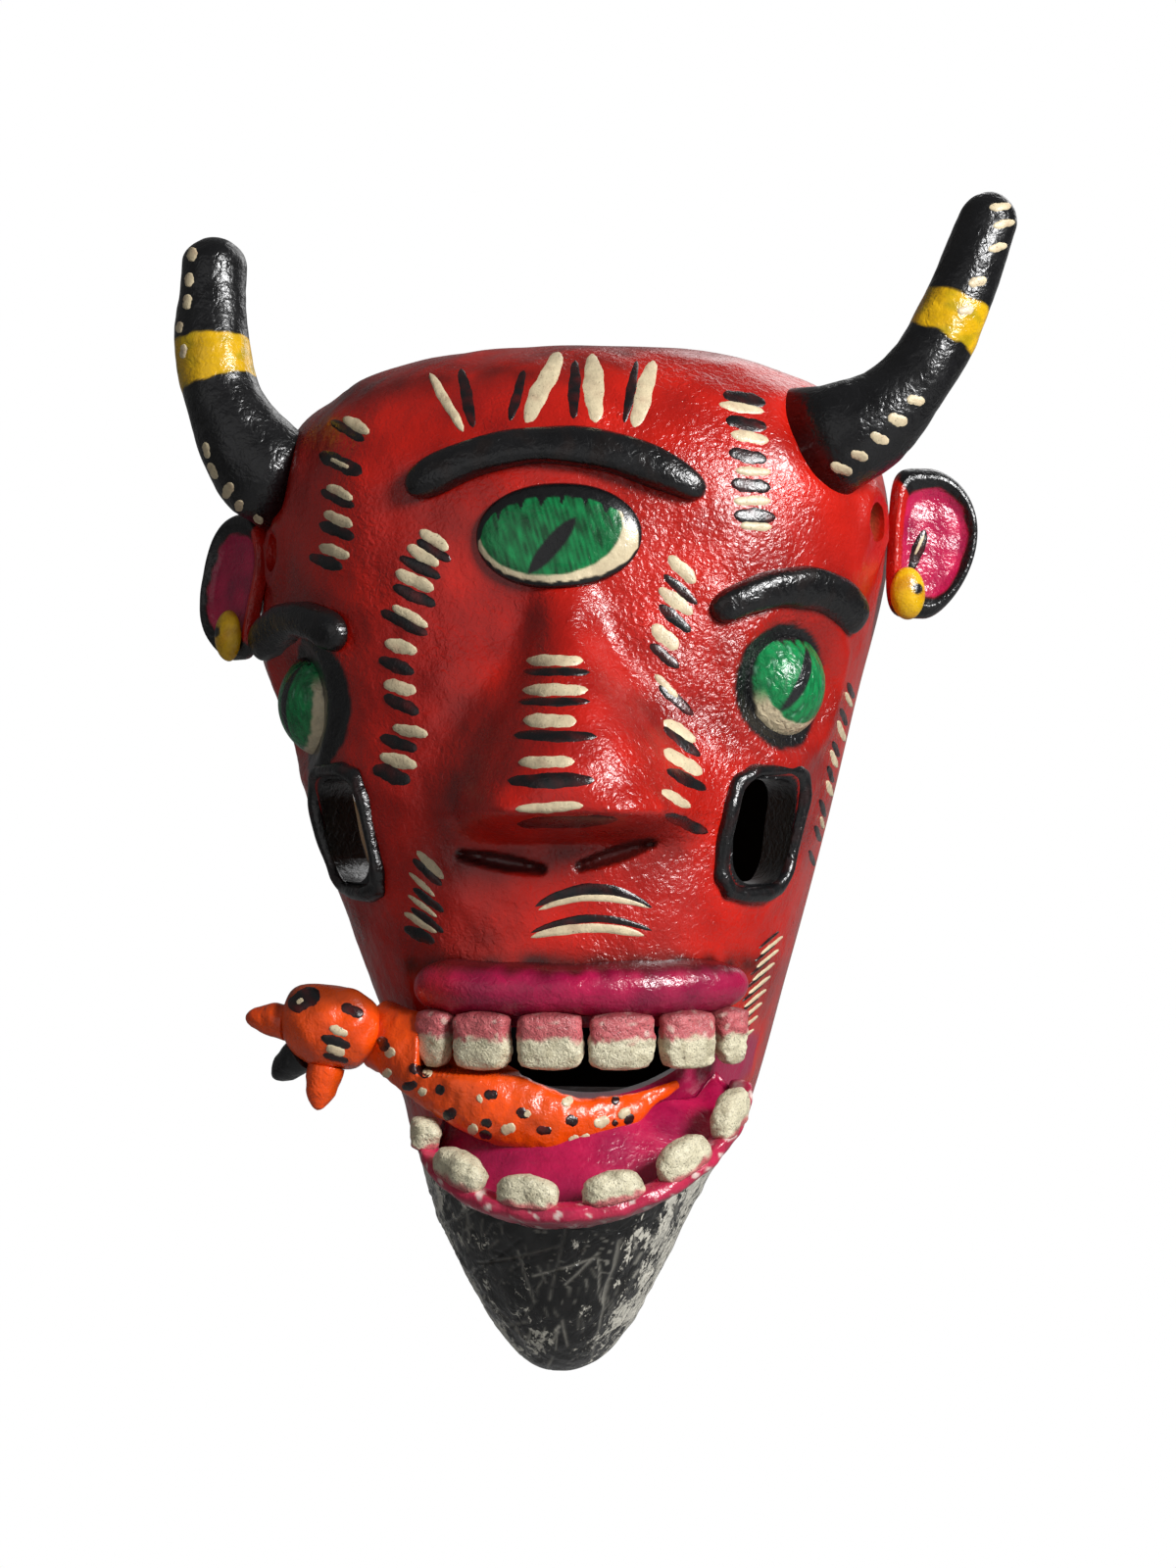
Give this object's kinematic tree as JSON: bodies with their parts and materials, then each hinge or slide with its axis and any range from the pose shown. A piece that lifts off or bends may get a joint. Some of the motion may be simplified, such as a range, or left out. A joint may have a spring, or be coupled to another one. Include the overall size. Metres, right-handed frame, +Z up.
{
  "type": "carved wooden dance mask",
  "caption": "Carved and painted wooden dance mask of a horned, three-eyed red devil with bared teeth, a black beard and a spotted feline held in its mouth.",
  "frame": {"origin": "on the plane of the back rim, about midway between the two strap holes", "axes": "+Z up as the mask is worn, from the beard to the horns; +Y out of the back rim towards the wearer, so the face looks along -Y; +X to the viewer's right"},
  "size_m": [0.2622, 0.1169, 0.3582],
  "materials": {
    "red_enamel": "gloss enamel brushed over gesso",
    "black_enamel": "gloss enamel",
    "black_gesso": "scraped black enamel over white gesso",
    "yellow_enamel": "gloss enamel",
    "eye_enamel": "gloss enamel",
    "pink_enamel": "gloss enamel",
    "tooth_paint": "chalky paint over gesso",
    "orange_enamel": "gloss enamel",
    "bare_wood": "bare light wood"
  },
  "bodies": {
    "root": {"face_shell": "red_enamel", "beard": "black_gesso", "beard_dowels": "bare_wood", "horn_left": "black_enamel", "horn_right": "black_enamel", "ear_left": "red_enamel", "ear_right": "red_enamel", "earring_left": "yellow_enamel", "earring_right": "yellow_enamel", "brow_forehead": "black_enamel", "brow_left": "black_enamel", "brow_right": "black_enamel", "eye_forehead": "eye_enamel", "eye_left": "eye_enamel", "eye_right": "eye_enamel", "peephole_rim_left": "black_enamel", "peephole_rim_right": "black_enamel", "upper_lip": "pink_enamel", "lip_dowels": "bare_wood", "upper_tooth_1": "tooth_paint", "upper_tooth_2": "tooth_paint", "upper_tooth_3": "tooth_paint", "upper_tooth_4": "tooth_paint", "upper_tooth_5": "tooth_paint", "upper_tooth_6": "tooth_paint", "lower_jaw": "pink_enamel", "jaw_dowels": "bare_wood", "lower_tooth_1": "tooth_paint", "lower_tooth_2": "tooth_paint", "lower_tooth_3": "tooth_paint", "lower_tooth_4": "tooth_paint", "lower_tooth_5": "tooth_paint", "lower_tooth_6": "tooth_paint", "feline_body": "orange_enamel", "feline_head": "orange_enamel", "feline_ear_upper": "orange_enamel", "feline_ear_lower": "orange_enamel", "feline_muzzle": "black_enamel"}
  },
  "joints": []
}
